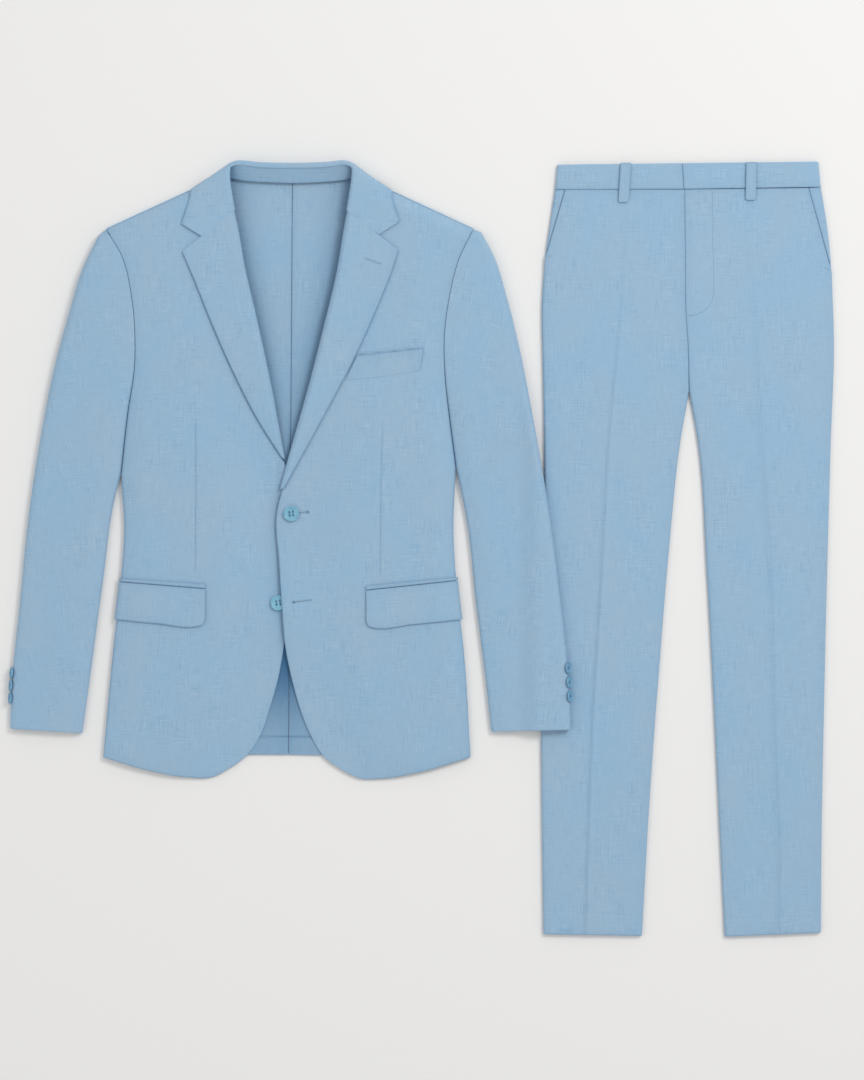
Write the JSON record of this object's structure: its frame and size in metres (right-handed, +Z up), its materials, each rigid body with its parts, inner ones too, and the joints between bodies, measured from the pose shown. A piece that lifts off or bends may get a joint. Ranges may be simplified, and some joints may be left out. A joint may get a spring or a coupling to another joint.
{
  "type": "two-piece suit",
  "caption": "Single-breasted notch-lapel jacket with flap pockets, laid flat on its back beside plain-front trousers with belt loops; one sleeve lies over a leg.",
  "frame": {"origin": "centre of the bounding box in plan, on the surface that the suit lies on", "axes": "+Z up out of the surface that the suit lies on; +Y towards the collar and the waistband; +X towards the wearer's left, from the jacket to the trousers"},
  "size_m": [1.0668, 1.0006, 0.0239],
  "materials": {
    "cloth": "light-blue slubby linen, matt",
    "button": "blue, satin, dished inside a raised rim"
  },
  "bodies": {
    "root": {"belt_loop_left": "cloth", "belt_loop_right": "cloth", "chest_welt": "cloth", "collar": "cloth", "collar_stand": "cloth", "cuff_button_left_1": "button", "cuff_button_left_2": "button", "cuff_button_left_3": "button", "cuff_button_right_1": "button", "cuff_button_right_2": "button", "cuff_button_right_3": "button", "front_button_lower": "button", "front_button_upper": "button", "hip_flap_left": "cloth", "hip_flap_right": "cloth", "hip_jet_left": "cloth", "hip_jet_right": "cloth", "jacket_back_left": "cloth", "jacket_back_right": "cloth", "jacket_front_left": "cloth", "jacket_front_right": "cloth", "jacket_side_body_left": "cloth", "jacket_side_body_right": "cloth", "lapel_left": "cloth", "lapel_right": "cloth", "pocket_facing_left": "cloth", "pocket_facing_right": "cloth", "sleeve_top_left": "cloth", "sleeve_top_right": "cloth", "sleeve_under_left": "cloth", "sleeve_under_right": "cloth", "trousers_back_left": "cloth", "trousers_back_right": "cloth", "trousers_front_left": "cloth", "trousers_front_right": "cloth", "waistband_back": "cloth", "waistband_front_left": "cloth", "waistband_front_right": "cloth"}
  },
  "joints": []
}
